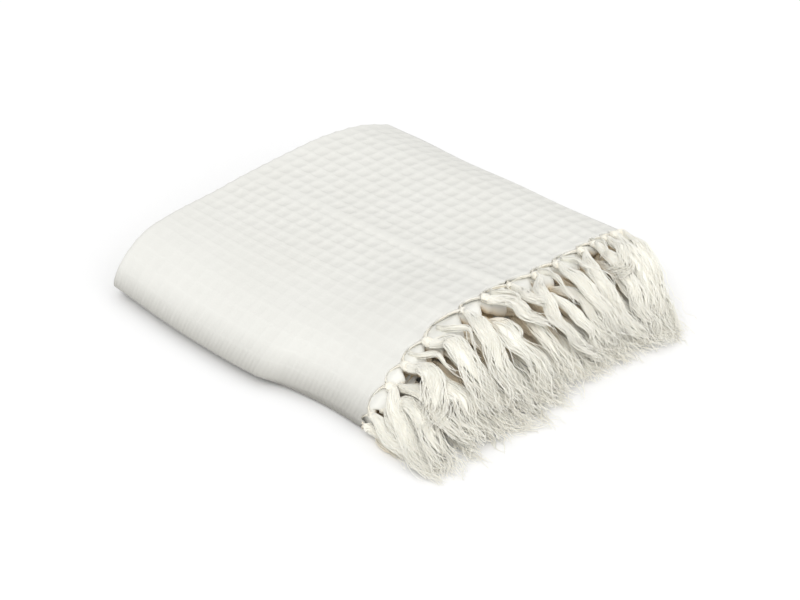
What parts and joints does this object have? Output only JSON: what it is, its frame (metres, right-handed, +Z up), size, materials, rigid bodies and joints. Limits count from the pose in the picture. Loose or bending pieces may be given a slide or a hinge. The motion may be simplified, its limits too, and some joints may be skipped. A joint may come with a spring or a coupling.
{
  "type": "folded throw blanket",
  "caption": "Folded waffle-weave cotton throw lying flat, with a rounded spine along one side and knotted tassel fringes gathered at one end.",
  "frame": {"origin": "on the surface that the throw lies on, under the middle of its box", "axes": "+X from the folded far end to the fringes, +Y from the rounded spine to the open side, +Z up"},
  "size_m": [0.4144, 0.356, 0.0683],
  "materials": {
    "cloth": "off-white cotton in a waffle weave, matt",
    "fringe": "off-white cotton yarn, loosely twisted, matt"
  },
  "bodies": {
    "root": {"throw_cloth": "cloth", "fringe_outer": "fringe", "fringe_inner": "fringe"}
  },
  "joints": []
}
